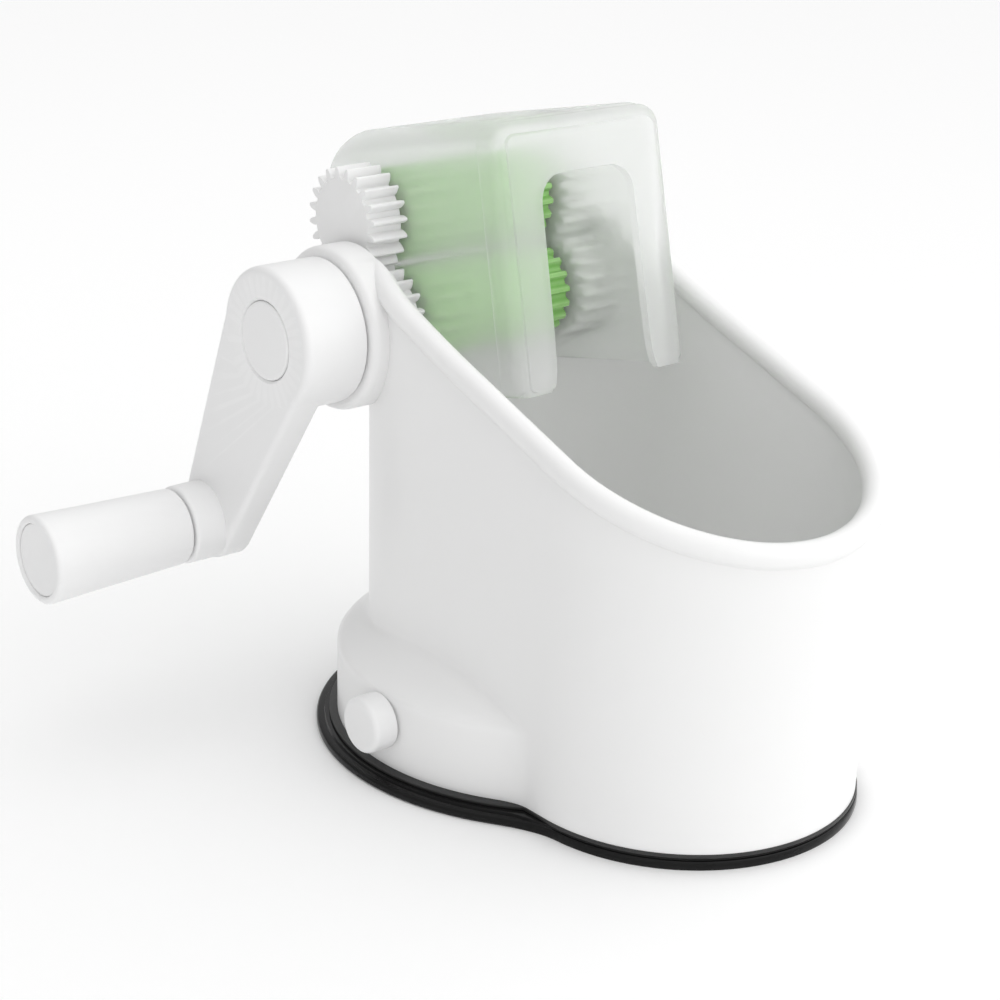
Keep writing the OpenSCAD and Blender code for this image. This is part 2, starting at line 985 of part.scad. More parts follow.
// ---------- upper, driven by the gears ----------

module upper_axle() {
    color("silver")
        rod_x(axle_r, -gear_out + 2, gear_out - 2, top_y, top_z);
}

module upper_roller() {
    color("limegreen")
        roller(top_y, top_z, axle_r, 90 + 180 / roller_n);
}

module left_driven_gear() {
    color("white")
        spur_gear(-gear_out, -gear_x, top_y, top_z, upper_phase, axle_r, -1);
}

module right_driven_gear() {
    color("white")
        spur_gear(gear_x, gear_out, top_y, top_z, upper_phase, axle_r, 1);
}

// ---------- crank ----------

// Outline of the arm: two round ends joined by straight sides that run into them
module arm_outline(grow) {
    r1 = hub_r - 1.2 + grow;
    r2 = arm_end_r + grow;
    a = asin((r1 - r2) / arm_len);
    side1 = r1 - 0.03;
    side2 = r2 - 0.03;
    circle(r = r1);
    rotate(-90 + arm_angle) {
        translate([arm_len, 0])
            circle(r = r2);
        polygon([
            [side1 * sin(a), side1 * cos(a)],
            [arm_len + side2 * sin(a), side2 * cos(a)],
            [arm_len + side2 * sin(a), -side2 * cos(a)],
            [side1 * sin(a), -side1 * cos(a)]
        ]);
    }
}

module crank_arm() {
    step = 1;
    color("white")
        difference() {
            union() {
                // Hub with a rounded outer edge
                translate([-hub_in, axis_y, axis_z])
                    rotate([0, -90, 0])
                        rotate_extrude()
                            polygon([
                                [0, 0],
                                [hub_r - 0.5, 0],
                                [hub_r, 0.5],
                                [hub_r, hub_len - 1.2],
                                [hub_r - 0.4, hub_len - 0.4],
                                [hub_r - 1.2, hub_len],
                                [0, hub_len]
                            ]);
                translate([0, axis_y, axis_z]) {
                    extrude_x(-crank_face, -crank_face + arm_t / 2)
                        arm_outline(-step);
                    extrude_x(-crank_face + step, -crank_face + arm_t)
                        arm_outline(0);
                }
                // Collar beside the grip
                rod_x(arm_end_r - 0.4, -grip_in + grip_gap, -crank_face + arm_t / 2, grip_y, grip_z);
            }
            // Socket of the shaft, the screw's hole and the cap's seat
            rod_x(shaft_r, -crank_face + socket_depth, 0, axis_y, axis_z);
            rod_x(crank_screw_r + 0.35, -crank_face - 1, 0, axis_y, axis_z);
            rod_x(cap_r, -crank_face - 1, -crank_face + cap_seat, axis_y, axis_z);
            rod_x(spindle_r, -crank_face - 20, -crank_face + arm_t + 1, grip_y, grip_z);
        }
}

module crank_screw() {
    head_h = 1.8;
    head_x = -crank_face + cap_seat - head_h;
    color("silver")
        screw_x(crank_screw_r, 3.6, head_h, head_x, head_x + crank_screw_len, axis_y, axis_z);
}

module hub_cap() {
    color("white")
        translate([-crank_face - 0.1, axis_y, axis_z])
            rotate([0, 90, 0])
                rotate_extrude()
                    polygon([
                        [0, 0],
                        [cap_r - 0.5, 0],
                        [cap_r - 0.12, 0.4],
                        [cap_r - 0.12, 3.2],
                        [cap_r - 1.4, 3.2],
                        [cap_r - 1.4, 1.6],
                        [0, 1.6]
                    ]);
}

// ---------- grip ----------

module grip_spindle() {
    tip = 4;
    head_r = spindle_r + 1.4;
    head_x = -crank_face + arm_t;
    color("silver") {
        rod_x(spindle_r, -grip_end + tip, head_x + eps, grip_y, grip_z);
        rod_x(head_r, head_x, head_x + 1, grip_y, grip_z);
    }
}

module grip_washer() {
    color("silver")
        difference() {
            rod_x(spindle_r + 1.8, -grip_end + 5.2, -grip_end + 6, grip_y, grip_z);
            rod_x(spindle_r, -grip_end, -grip_end + 10, grip_y, grip_z);
        }
}

grip_cap_r = grip_r2 - 1.8;
module grip() {
    color("white")
        difference() {
            translate([-grip_end, grip_y, grip_z])
                rotate([0, 90, 0])
                    rotate_extrude()
                        polygon([
                            [0, 0],
                            [grip_r2 - 0.8, 0],
                            [grip_r2 - 0.2, 0.3],
                            [grip_r2, 1],
                            [grip_r1, grip_len - 0.6],
                            [grip_r1 - 0.6, grip_len],
                            [0, grip_len]
                        ]);
            rod_x(spindle_r + run, -grip_end - 1, 0, grip_y, grip_z);
            rod_x(grip_cap_r, -grip_end - 1, -grip_end + 6.6, grip_y, grip_z);
        }
}

module grip_cap() {
    color("gainsboro")
        translate([-grip_end + 0.5, grip_y, grip_z])
            rotate([0, 90, 0])
                rotate_extrude()
                    polygon([
                        [0, 0.9],
                        [grip_cap_r * 0.5, 0.6],
                        [grip_cap_r - 0.05, 0],
                        [grip_cap_r - 0.05, 3],
                        [grip_cap_r - 1.2, 3],
                        [grip_cap_r - 1.2, 2.2],
                        [0, 2.4]
                    ]);
}

cup_body();
base_plate();
foot_ring();
base_screws();
suction_pad();
pad_plunger();
plunger_spring();
cam_shaft();
suction_cam();
suction_lever();
lever_screw();
left_bush();
right_bush();
hood();
upper_left_bush();
upper_right_bush();
drive_shaft();
lower_roller();
left_drive_gear();
right_drive_gear();
shaft_clip();
upper_axle();
upper_roller();
left_driven_gear();
right_driven_gear();
crank_arm();
crank_screw();
hub_cap();
grip_spindle();
grip_washer();
grip();
grip_cap();
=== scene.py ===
import json
import math

import bmesh
import bpy
from mathutils import Matrix, Vector


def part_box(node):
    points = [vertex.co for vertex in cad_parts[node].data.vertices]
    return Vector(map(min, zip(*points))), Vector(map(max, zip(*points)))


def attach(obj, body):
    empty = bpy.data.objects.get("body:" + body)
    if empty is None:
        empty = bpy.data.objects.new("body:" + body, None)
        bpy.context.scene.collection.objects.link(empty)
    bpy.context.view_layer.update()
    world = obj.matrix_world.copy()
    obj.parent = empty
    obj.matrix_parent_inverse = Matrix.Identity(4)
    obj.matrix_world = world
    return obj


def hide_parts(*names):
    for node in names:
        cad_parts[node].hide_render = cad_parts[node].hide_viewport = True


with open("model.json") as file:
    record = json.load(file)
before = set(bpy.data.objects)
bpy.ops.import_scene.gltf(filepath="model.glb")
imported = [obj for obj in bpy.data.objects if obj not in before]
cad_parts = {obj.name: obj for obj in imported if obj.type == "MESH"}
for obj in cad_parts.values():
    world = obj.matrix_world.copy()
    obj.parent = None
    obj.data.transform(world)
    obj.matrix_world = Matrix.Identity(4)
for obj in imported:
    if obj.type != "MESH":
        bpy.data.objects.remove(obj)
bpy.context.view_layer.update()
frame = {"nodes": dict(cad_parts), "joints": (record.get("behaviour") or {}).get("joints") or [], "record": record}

MM = 0.001

# ---------- camera, floor and light ----------

VIEW_TURN = math.radians(-40.35)
VIEW_TILT = math.radians(20.57)
VIEW_ROLL = math.radians(1.37)
VIEW_PLACE = Vector((-0.3084, -0.3420, 0.2255))
LENS_MM = 79.13
BRIGHT_SIDE = (0.6, -0.7, 0.4)
SKY_LEVELS = (0.22, 1.38)


def turned_to(direction):
    """Rotation of a lamp that shines along a direction."""
    return Vector(direction).to_track_quat("-Z", "Y").to_matrix().to_4x4()


def make_camera():
    data = bpy.data.cameras.new("camera")
    data.lens = LENS_MM
    data.sensor_width = 36
    data.clip_start = 0.01
    camera = bpy.data.objects.new("camera", data)
    bpy.context.scene.collection.objects.link(camera)
    turn = Matrix.Rotation(VIEW_TURN, 4, "Z")
    tilt = Matrix.Rotation(math.pi / 2 - VIEW_TILT, 4, "X")
    roll = Matrix.Rotation(VIEW_ROLL, 4, "Z")
    camera.matrix_world = Matrix.Translation(VIEW_PLACE) @ turn @ tilt @ roll
    bpy.context.scene.camera = camera
    bpy.context.scene.view_settings.view_transform = "Standard"


def make_lamp(name, place, size, power, target=(0, 0, 0.07)):
    data = bpy.data.lights.new(name, "AREA")
    data.shape = "RECTANGLE"
    data.size = size[0]
    data.size_y = size[1]
    data.energy = power
    lamp = bpy.data.objects.new(name, data)
    bpy.context.scene.collection.objects.link(lamp)
    aim = Vector(target) - Vector(place)
    lamp.matrix_world = Matrix.Translation(place) @ turned_to(aim)


def make_studio():
    world = bpy.data.worlds.new("studio")
    world.use_nodes = True
    tree = world.node_tree
    link = tree.links.new
    sky = tree.nodes["Background"]
    sky.inputs["Color"].default_value = (1, 1, 1, 1)
    place = tree.nodes.new("ShaderNodeTexCoord")
    toward = tree.nodes.new("ShaderNodeVectorMath")
    toward.operation = "DOT_PRODUCT"
    toward.inputs[1].default_value = Vector(BRIGHT_SIDE).normalized()
    level = tree.nodes.new("ShaderNodeMapRange")
    level.inputs["From Min"].default_value = -1
    level.inputs["To Min"].default_value = SKY_LEVELS[0]
    level.inputs["To Max"].default_value = SKY_LEVELS[1]
    ray = tree.nodes.new("ShaderNodeLightPath")
    seen = tree.nodes.new("ShaderNodeMix")
    seen.inputs["B"].default_value = 1
    link(place.outputs["Generated"], toward.inputs[0])
    link(toward.outputs["Value"], level.inputs["Value"])
    link(ray.outputs["Is Camera Ray"], seen.inputs["Factor"])
    link(level.outputs["Result"], seen.inputs["A"])
    link(seen.outputs["Result"], sky.inputs["Strength"])
    bpy.context.scene.world = world
    make_lamp("front", (0.25, -0.85, 0.45), (0.7, 0.7), 0.5)
    make_lamp("top", (-0.05, 0.1, 1.0), (0.9, 0.9), 0.8)
    data = bpy.data.meshes.new("floor")
    bm = bmesh.new()
    bmesh.ops.create_grid(bm, x_segments=1, y_segments=1, size=12)
    bm.to_mesh(data)
    bm.free()
    floor = bpy.data.objects.new("floor", data)
    bpy.context.scene.collection.objects.link(floor)
    look = bpy.data.materials.new("floor")
    look.use_nodes = True
    paint = look.node_tree.nodes["Principled BSDF"]
    paint.inputs["Base Color"].default_value = (0.99, 0.99, 0.99, 1)
    paint.inputs["Roughness"].default_value = 0.8
    data.materials.append(look)


# ---------- shared effects ----------


def new_group(name, inputs, outputs):
    """An empty shader node group: inputs are (name, default), outputs (name, type)."""
    group = bpy.data.node_groups.new(name, "ShaderNodeTree")
    for label, value in inputs:
        socket = group.interface.new_socket(label, in_out="INPUT", socket_type="NodeSocketFloat")
        socket.default_value = value
    for label, kind in outputs:
        group.interface.new_socket(label, in_out="OUTPUT", socket_type="NodeSocket" + kind)
    start = group.nodes.new("NodeGroupInput")
    end = group.nodes.new("NodeGroupOutput")
    return group, start, end


def node(tree, kind, **values):
    """A node whose sockets and settings are given by name."""
    made = tree.nodes.new("ShaderNode" + kind)
    for key, value in values.items():
        if hasattr(made, key):
            setattr(made, key, value)
        else:
            made.inputs[key.replace("_", " ")].default_value = value
    return made


def moulded_grain():
    """Fine unevenness of a moulded surface, as a height, and a slow drift of its shade."""
    group, start, end = new_group(
        "moulded grain",
        [("Grain Scale", 900.0), ("Drift Scale", 18.0)],
        [("Height", "Float"), ("Drift", "Float")],
    )
    link = group.links.new
    place = node(group, "TexCoord")
    fine = node(group, "TexNoise", Detail=2.0, Roughness=0.5)
    slow = node(group, "TexNoise", Detail=1.0, Roughness=0.4)
    link(place.outputs["Object"], fine.inputs["Vector"])
    link(place.outputs["Object"], slow.inputs["Vector"])
    link(start.outputs["Grain Scale"], fine.inputs["Scale"])
    link(start.outputs["Drift Scale"], slow.inputs["Scale"])
    link(fine.outputs["Fac"], end.inputs["Height"])
    link(slow.outputs["Fac"], end.inputs["Drift"])
    return group


def painted_edge_highlight():
    """Mask of the convex edges, broken up by a noise, where a painted highlight lightens the colour."""
    group, start, end = new_group(
        "painted edge highlight",
        [("Spread", 0.06), ("Breakup Scale", 140.0)],
        [("Mask", "Float")],
    )
    link = group.links.new
    place = node(group, "TexCoord")
    shape = node(group, "NewGeometry")
    ridge = node(group, "Math", operation="SUBTRACT")
    ridge.inputs[1].default_value = 0.5
    share = node(group, "Math", operation="DIVIDE", use_clamp=True)
    patches = node(group, "TexNoise", Detail=3.0)
    blend = node(group, "Math", operation="MULTIPLY", use_clamp=True)
    link(shape.outputs["Pointiness"], ridge.inputs[0])
    link(ridge.outputs[0], share.inputs[0])
    link(start.outputs["Spread"], share.inputs[1])
    link(place.outputs["Object"], patches.inputs["Vector"])
    link(start.outputs["Breakup Scale"], patches.inputs["Scale"])
    link(share.outputs[0], blend.inputs[0])
    link(patches.outputs["Fac"], blend.inputs[1])
    link(blend.outputs[0], end.inputs["Mask"])
    return group


GRAIN = moulded_grain()
# Mask of the painted highlight on convex edges
EDGE_HIGHLIGHT = painted_edge_highlight()


def use_group(tree, group, **values):
    made = tree.nodes.new("ShaderNodeGroup")
    made.node_tree = group
    for key, value in values.items():
        made.inputs[key.replace("_", " ")].default_value = value
    return made


def mix_colour(tree, factor, first, second):
    """Mix node of two colours; factor is an output socket."""
    made = tree.nodes.new("ShaderNodeMix")
    made.data_type = "RGBA"
    made.inputs["A"].default_value = (*first, 1)
    made.inputs["B"].default_value = (*second, 1)
    tree.links.new(factor, made.inputs["Factor"])
    return made.outputs["Result"]


def span(tree, value, low, high):
    """Map Range node that turns 0 to 1 into low to high."""
    made = node(tree, "MapRange")
    made.inputs["To Min"].default_value = low
    made.inputs["To Max"].default_value = high
    tree.links.new(value, made.inputs["Value"])
    return made.outputs["Result"]


def plastic(name, colour, shade, highlight_colour, rough, grain=900.0, depth=0.00001, specular=0.5):
    """Moulded plastic: colour drifts to shade; a painted highlight lightens convex edges to the third colour."""
    look = bpy.data.materials.new(name)
    look.use_nodes = True
    tree = look.node_tree
    link = tree.links.new
    paint = tree.nodes["Principled BSDF"]
    skin = use_group(tree, GRAIN, Grain_Scale=grain)
    edge_lit = use_group(tree, EDGE_HIGHLIGHT)
    drift = mix_colour(tree, skin.outputs["Drift"], colour, shade)
    # Painted highlight: convex edges are lightened towards the third colour
    edge_lit_colour = tree.nodes.new("ShaderNodeMix")
    edge_lit_colour.data_type = "RGBA"
    edge_lit_colour.inputs["B"].default_value = (*highlight_colour, 1)
    link(edge_lit.outputs["Mask"], edge_lit_colour.inputs["Factor"])
    link(drift, edge_lit_colour.inputs["A"])
    link(edge_lit_colour.outputs["Result"], paint.inputs["Base Color"])
    link(span(tree, skin.outputs["Drift"], rough[0], rough[1]), paint.inputs["Roughness"])
    bump = node(tree, "Bump", Strength=0.25, Distance=depth)
    link(skin.outputs["Height"], bump.inputs["Height"])
    link(bump.outputs["Normal"], paint.inputs["Normal"])
    paint.inputs["Specular IOR Level"].default_value = specular
    return look


def steel(name):
    """Turned steel with fine rings round the X axis."""
    look = bpy.data.materials.new(name)
    look.use_nodes = True
    tree = look.node_tree
    link = tree.links.new
    paint = tree.nodes["Principled BSDF"]
    place = node(tree, "TexCoord")
    stretch = node(tree, "Mapping")
    stretch.inputs["Scale"].default_value = (9000, 60, 60)
    rings = node(tree, "TexNoise", Scale=1.0, Detail=2.0)
    link(place.outputs["Object"], stretch.inputs["Vector"])
    link(stretch.outputs["Vector"], rings.inputs["Vector"])
    edge_lit = use_group(tree, EDGE_HIGHLIGHT)
    # Painted highlight: convex edges are lightened from 0.55 to 0.75 grey
    tone = mix_colour(tree, edge_lit.outputs["Mask"], (0.55, 0.56, 0.58), (0.75, 0.75, 0.76))
    link(tone, paint.inputs["Base Color"])
    link(span(tree, rings.outputs["Fac"], 0.22, 0.4), paint.inputs["Roughness"])
    bump = node(tree, "Bump", Strength=0.3, Distance=0.00001)
    link(rings.outputs["Fac"], bump.inputs["Height"])
    link(bump.outputs["Normal"], paint.inputs["Normal"])
    paint.inputs["Metallic"].default_value = 1
    return look


def frosted(name):
    """Translucent frosted plastic: light passes and is blurred."""
    look = plastic(name, (0.985, 0.99, 0.985), (0.97, 0.98, 0.975), (1, 1, 1), (0.36, 0.44))
    paint = look.node_tree.nodes["Principled BSDF"]
    paint.inputs["Transmission Weight"].default_value = 0.7
    paint.inputs["IOR"].default_value = 1.2
    paint.inputs["Alpha"].default_value = 0.72
    return look


def grey(level):
    return (level, level, level)


# Colour, slow drift of it, painted highlight colour of convex edges, lowest and highest roughness
LOOKS = {
    "body_white": plastic(
        "body white", (0.88, 0.88, 0.877), (0.86, 0.86, 0.857), grey(0.91), (0.26, 0.34)),
    "crank_white": plastic("crank white", grey(0.87), grey(0.85), grey(0.91), (0.3, 0.38)),
    "gear_white": plastic(
        "gear white", (0.87, 0.87, 0.865), (0.84, 0.84, 0.835), grey(0.91), (0.34, 0.44)),
    "bush": plastic(
        "bush ivory", (0.72, 0.68, 0.57), (0.68, 0.64, 0.52), (0.78, 0.75, 0.66), (0.4, 0.5)),
    "hood_frost": frosted("hood frost"),
    "roller_green": plastic(
        "roller green", (0.33, 0.66, 0.2), (0.3, 0.61, 0.18), (0.48, 0.76, 0.35), (0.2, 0.3)),
    "black_plastic": plastic("black plastic", grey(0.012), grey(0.016), grey(0.04), (0.4, 0.5)),
    "foot_rubber": plastic(
        "foot rubber", grey(0.004), grey(0.006), grey(0.03), (0.1, 0.18), specular=0.16),
    "pad_rubber": plastic("pad rubber", grey(0.02), grey(0.026), grey(0.05), (0.5, 0.6)),
    "steel": steel("turned steel"),
}

SLOT = {part["node"]: part["material_slot"] for part in frame["record"]["subparts"]}
BODY = {
    name: body
    for body, members in frame["record"]["behaviour"]["bodies"].items()
    for name in members
}
JOINT = {joint["name"]: joint for joint in frame["joints"]}


# ---------- mesh helpers ----------


def finish_piece(bm, name, nodes, sharp=30, look=None):
    """Makes an object of the mesh; it stands for these CAD nodes and rides with them."""
    data = bpy.data.meshes.new(name)
    bm.to_mesh(data)
    bm.free()
    data.shade_smooth()
    data.set_sharp_from_angle(angle=math.radians(sharp))
    piece = bpy.data.objects.new(name, data)
    bpy.context.scene.collection.objects.link(piece)
    data.materials.append(LOOKS[look or SLOT[nodes[0]]])
    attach(piece, BODY[nodes[0]])
    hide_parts(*nodes)
    return piece


def next_row(bm, row):
    """Extrudes a closed row of vertices; the new row has the same order."""
    edges = [bm.edges.get((a, b)) for a, b in zip(row, row[1:] + row[:1])]
    made = bmesh.ops.extrude_edge_only(bm, edges=edges)["geom"]
    fresh = {v for v in made if isinstance(v, bmesh.types.BMVert)}
    return [next(e.other_vert(v) for e in v.link_edges if e.other_vert(v) in fresh) for v in row]


def loft(count, rows, place):
    """Closed skin with one ring of vertices for each row, capped at both ends."""
    bm = bmesh.new()
    row = bmesh.ops.create_circle(bm, segments=count, radius=1)["verts"]
    first = row
    for index, spot in enumerate(rows):
        if index:
            row = next_row(bm, row)
        for i, v in enumerate(row):
            v.co = place(i / count, spot)
    bm.faces.new(first)
    bm.faces.new(row)
    bmesh.ops.recalc_face_normals(bm, faces=bm.faces)
    return bm


def turned(bm, outline, axis, segments=96):
    """Turns an outline of (x, radius) points round the line along X through axis."""
    verts = [bm.verts.new((x, axis.y + r, axis.z)) for x, r in outline]
    edges = [bm.edges.new(pair) for pair in zip(verts, verts[1:])]
    bmesh.ops.spin(
        bm, geom=verts + edges, cent=(0, axis.y, axis.z), axis=(1, 0, 0),
        angle=2 * math.pi, steps=segments, use_merge=True,
    )
    bmesh.ops.remove_doubles(bm, verts=bm.verts, dist=1e-7)
    bmesh.ops.recalc_face_normals(bm, faces=bm.faces)


def rounded(outline, corners, steps=4):
    """Replaces named corners of an outline by arcs: corners is {index: radius}."""
    points = []
    for i, p in enumerate(outline):
        p = Vector(p)
        radius = corners.get(i, 0)
        if not radius:
            points.append(p)
            continue
        back = (Vector(outline[i - 1]) - p).normalized()
        ahead = (Vector(outline[i + 1]) - p).normalized()
        half = back.angle(ahead) / 2
        reach = radius / math.tan(half)
        centre = p + (back + ahead).normalized() * radius / math.sin(half)
        a = p + back * reach - centre
        b = p + ahead * reach - centre
        turn = a.angle_signed(b)
        for k in range(steps + 1):
            points.append(centre + Matrix.Rotation(-turn * k / steps, 2) @ a)
    return points


def loose_object(bm, name):
    data = bpy.data.meshes.new(name)
    bm.to_mesh(data)
    bm.free()
    thing = bpy.data.objects.new(name, data)
    bpy.context.scene.collection.objects.link(thing)
    return thing


def combined(bm, tools):
    """The mesh after each tool, a (mesh, operation) pair, is added or cut in turn."""
    target = loose_object(bm, "blank")
    for tool_mesh, how in tools:
        tool = loose_object(tool_mesh, "tool")
        step = target.modifiers.new("step", "BOOLEAN")
        step.object = tool
        step.operation = how
        step.solver = "EXACT"
        graph = bpy.context.evaluated_depsgraph_get()
        data = bpy.data.meshes.new_from_object(target.evaluated_get(graph))
        target.modifiers.clear()
        target.data = data
        bpy.data.objects.remove(tool)
    result = bmesh.new()
    result.from_mesh(target.data)
    bpy.data.objects.remove(target)
    return result


def cylinder_x(radius, x1, x2, axis, segments=96):
    bm = bmesh.new()
    turned(bm, [(x1, 0), (x1, radius), (x2, radius), (x2, 0)], axis, segments)
    return bm


def disc_z(radius, z1, z2, centre, segments=96):
    bm = bmesh.new()
    bmesh.ops.create_cone(
        bm, cap_ends=True, segments=segments, radius1=radius, radius2=radius, depth=z2 - z1,
    )
    bmesh.ops.translate(bm, vec=(*centre, (z1 + z2) / 2), verts=bm.verts)
    return bm


def box_mesh(low, high, matrix=None):
    bm = bmesh.new()
    bmesh.ops.create_cube(bm, size=1)
    low, high = Vector(low), Vector(high)
    bmesh.ops.scale(bm, vec=high - low, verts=bm.verts)
    bmesh.ops.translate(bm, vec=(low + high) / 2, verts=bm.verts)
    if matrix:
        bmesh.ops.transform(bm, matrix=matrix, verts=bm.verts)
    return bm


def steps(low, high, count):
    """Evenly spaced values from low to high, both included."""
    return [low + (high - low) * i / count for i in range(count + 1)]


def box_radius(name):
    """Radius of a round node whose axis lies along X."""
    low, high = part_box(name)
    return (high.z - low.z) / 2


# ---------- cup ----------

crank_axis = Vector(JOINT["crank_spin"]["pos_m"])
upper_axis = Vector(JOINT["upper_roller_spin"]["pos_m"])
grip_axis = Vector(JOINT["grip_spin"]["pos_m"])
lever_axis = Vector(JOINT["suction_lever_turn"]["pos_m"])
cup_low, cup_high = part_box("cup_body")
hood_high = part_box("hood")[1]

BASE_R = cup_high.x
FOOT_TOP = cup_low.z
CUP_R = 38.4 * MM
CUP_FRONT = 41.1 * MM
CUP_REAR = 7.4 * MM
WALL = 2.4 * MM
BEAD_R = 2.7 * MM
RIM_FRONT_Z = 66 * MM
RIM_SLOPE = math.tan(math.radians(20.4))
RIM_REAR_Z = 97 * MM
FLOOR_Z = 24.5 * MM
BASE_WALL_Z = 20.5 * MM
SHOULDER_Z = 26 * MM
BLEND = 3.2 * MM
ROLLER_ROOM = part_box("upper_roller")[1].z - upper_axis.z + 2 * MM
EAR_WEB = 1.6 * MM
EAR_R = 18 * MM
# Height where the upright wall starts, above the fillets of the base
WALL_LOW_Z = 32 * MM
FLOOR_FILLET = 3 * MM
# Depth of a gear's recess in the ear, and the room round its teeth
GEAR_RECESS = 6.6 * MM
GEAR_ROOM = 0.8 * MM
RIM_STRETCH = 1.35


def smooth_max(a, b, width):
    """Larger of two lengths, with a fillet of about that width where they meet."""
    h = max(width - abs(a - b), 0) / width
    return max(a, b) + h * h * width / 4


def outline_spot(u):
    """Point on the cup's centre line and outward direction at share u of its outline."""
    side = CUP_FRONT + CUP_REAR
    arc = math.pi * CUP_R
    s = u * 2 * (side + arc)
    if s < side:
        return Vector((0, s - CUP_FRONT)), Vector((-1, 0))
    s -= side
    if s < arc:
        a = math.pi - s / CUP_R
        return Vector((0, CUP_REAR)), Vector((math.cos(a), math.sin(a)))
    s -= arc
    if s < side:
        return Vector((0, CUP_REAR - s)), Vector((1, 0))
    a = -(s - side) / CUP_R
    return Vector((0, -CUP_FRONT)), Vector((math.cos(a), math.sin(a)))


def base_reach(centre, out, radius):
    """Distance from a centre-line point to the round base along a direction."""
    along = centre.dot(out)
    inside = along * along + radius * radius - centre.length_squared
    return math.sqrt(inside) - along if inside > 0 else 0


def base_radius(z):
    """Radius of the round base at a height: upright, then sloping in at the shoulder."""
    slope = (BASE_R - CUP_R) / (SHOULDER_Z - BASE_WALL_Z)
    return -smooth_max(-BASE_R, -(BASE_R - (z - BASE_WALL_Z) * slope), 2.5 * MM)


def rim_height(y):
    """Height of the rim's bead: it climbs to the ears and is level behind them."""
    drop = min(max((y - crank_axis.y + 6 * MM) / (12 * MM), 0), 1)
    front = RIM_FRONT_Z + (y + CUP_FRONT + CUP_R) * RIM_SLOPE
    # The bead rises a little to run into the top of the ear
    near = min(max((y + 10 * MM) / (34 * MM), 0), 1)
    front += 1.5 * MM * near * near * (3 - 2 * near)
    return front + (RIM_REAR_Z - front) * drop, BEAD_R * (1 - 0.4 * drop)


def cup_place(u, spot):
    """Vertex of the cup's skin: spot is (kind of row, its height, share or angle)."""
    kind, value = spot
    centre, out = outline_spot(u)
    middle = centre + out * (CUP_R - WALL / 2)
    rim, bead = rim_height(middle.y)
    wall_top = rim - bead * RIM_STRETCH
    if kind == "chamber":
        reach = max(CUP_R - WALL, base_reach(centre, out, base_radius(value + 2 * MM) - WALL))
        return Vector((*(centre + out * reach), value))
    if kind == "base":
        reach = smooth_max(CUP_R, base_reach(centre, out, base_radius(value)), BLEND)
        return Vector((*(centre + out * reach), value))
    if kind == "outer":
        return Vector((*(centre + out * CUP_R), WALL_LOW_Z + (wall_top - WALL_LOW_Z) * value))
    if kind == "bead":
        stretch = math.hypot(1, RIM_SLOPE * out.x)
        spread = math.cos(value) * bead
        return Vector((*(middle + out * spread), rim + math.sin(value) * bead * stretch))
    if kind == "inner":
        z = FLOOR_Z + FLOOR_FILLET + (wall_top - FLOOR_Z - FLOOR_FILLET) * value
        return Vector((*(centre + out * (CUP_R - WALL)), z))
    inset = FLOOR_FILLET * (1 - math.cos(value))
    z = FLOOR_Z + FLOOR_FILLET * (1 - math.sin(value))
    return Vector((*(centre + out * (CUP_R - WALL - inset)), z))


def cup_rows():
    lean = math.asin(WALL / 2 / BEAD_R)
    return (
        [("chamber", z) for z in (22.5 * MM, 20.5 * MM, 18.5 * MM, 12 * MM, FOOT_TOP)]
        + [("base", z) for z in steps(FOOT_TOP, 16 * MM, 3)]
        + [("base", z) for z in steps(17 * MM, 31 * MM, 20)]
        + [("outer", t) for t in steps(0, 1, 12)]
        + [("bead", a) for a in steps(lean - math.pi / 2, 1.5 * math.pi - lean, 14)]
        + [("inner", t) for t in steps(1, 0, 10)]
        + [("floor", a) for a in steps(0, math.pi / 2, 5)[1:]]
    )


def cavity_mesh():
    """Upper part of the space inside the cup, reaching a little into its wall."""

    def place(u, z):
        centre, out = outline_spot(u)
        return Vector((*(centre + out * (CUP_R - WALL + 0.3 * MM)), z))

    return loft(192, [60 * MM, 130 * MM], place)


def ear_mesh(side, face):
    """Round ear with the pod that wraps the gears; side is -1 on the left."""
    edge = 1.6 * MM
    inner = abs(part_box("left_drive_gear")[1].x)
    outline = rounded([(inner, 0), (inner, EAR_R), (face, EAR_R), (face, 0)], {2: edge}, 5)
    bm = bmesh.new()
    turned(bm, [(side * x, r) for x, r in outline], crank_axis, 128)
    return combined(bm, [(cavity_mesh(), "DIFFERENCE")])


def barrel_mesh():
    """Wall behind the lower roller, between the pods and up to the rear rim."""
    inner = abs(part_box("left_drive_gear")[1].x) + 0.5 * MM
    radius = ROLLER_ROOM + WALL
    low = Vector((-inner - MM, crank_axis.y + 0.1 * MM, 0))
    high = Vector((inner + MM, crank_axis.y + radius + MM, RIM_REAR_Z))
    return combined(cylinder_x(radius, -inner, inner, crank_axis, 128), [
        (box_mesh(low, high), "INTERSECT"), (cavity_mesh(), "DIFFERENCE"),
    ])


